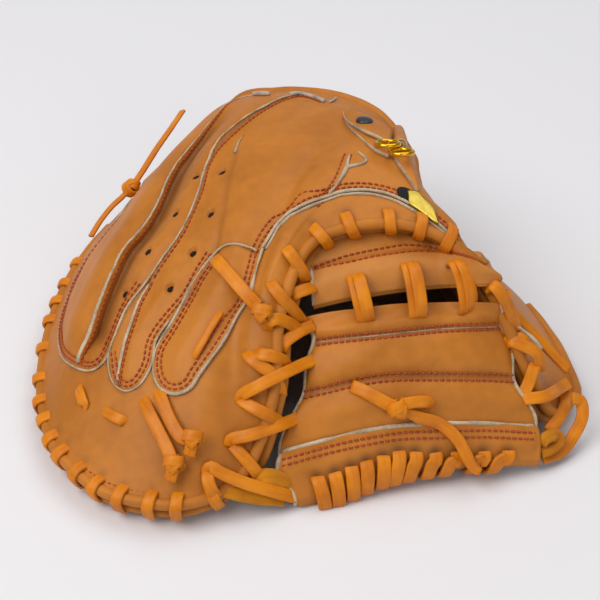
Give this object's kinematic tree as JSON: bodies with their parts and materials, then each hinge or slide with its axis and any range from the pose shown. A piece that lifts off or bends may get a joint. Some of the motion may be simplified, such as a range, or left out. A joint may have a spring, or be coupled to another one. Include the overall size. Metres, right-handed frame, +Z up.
{
  "type": "catcher's mitt",
  "caption": "Round padded catcher's mitt of tan leather, lying face down, with a laced web, rolled laced edges and a wrist strap with two rings.",
  "frame": {"origin": "on the ground under the middle of the bounding box of the whole mitt", "axes": "+Z up, away from the ground it lies on face down; -Y towards the web; the finger side at -X and the thumb side at +X"},
  "size_m": [0.2784, 0.2656, 0.1137],
  "materials": {
    "tan_leather": "smooth satin",
    "rawhide_lace": "waxed satin",
    "raw_edge": "matte cut edge",
    "gold_metal": "polished",
    "black_trim": "matte"
  },
  "bodies": {
    "root": {"palm_pad": "tan_leather", "back_shell": "tan_leather", "stall_little": "tan_leather", "stall_middle": "tan_leather", "hand_back_panel": "tan_leather", "crotch_strip": "tan_leather", "web_strip_2": "tan_leather", "web_strip_3": "tan_leather", "web_strip_4": "tan_leather", "web_tip_panel": "tan_leather", "finger_piping": "tan_leather", "crotch_piping": "tan_leather", "palm_piping": "tan_leather", "wrist_binding": "tan_leather", "strap_tab": "tan_leather", "strap_belt": "tan_leather", "rim_lace": "rawhide_lace", "crotch_lace": "rawhide_lace", "tip_lace": "rawhide_lace", "web_loop_1": "rawhide_lace", "web_loop_2": "rawhide_lace", "web_loop_3": "rawhide_lace", "side_lace_left_1": "rawhide_lace", "side_lace_left_2": "rawhide_lace", "side_lace_left_3": "rawhide_lace", "side_lace_right_1": "rawhide_lace", "side_lace_right_2": "rawhide_lace", "thumb_tip_loop": "rawhide_lace", "web_tie": "rawhide_lace", "finger_tie": "rawhide_lace", "tip_tie_1": "rawhide_lace", "tip_tie_2": "rawhide_lace", "little_tie": "rawhide_lace", "thumb_tie": "rawhide_lace", "slot_lace": "rawhide_lace", "stitch_lace_1": "rawhide_lace", "stitch_lace_2": "rawhide_lace", "crotch_welt": "raw_edge", "ridge_little": "raw_edge", "ridge_middle": "raw_edge", "ring_1": "gold_metal", "ring_2": "gold_metal", "label_plate": "gold_metal", "strap_rivet": "black_trim", "label_backing": "black_trim"}
  },
  "joints": []
}
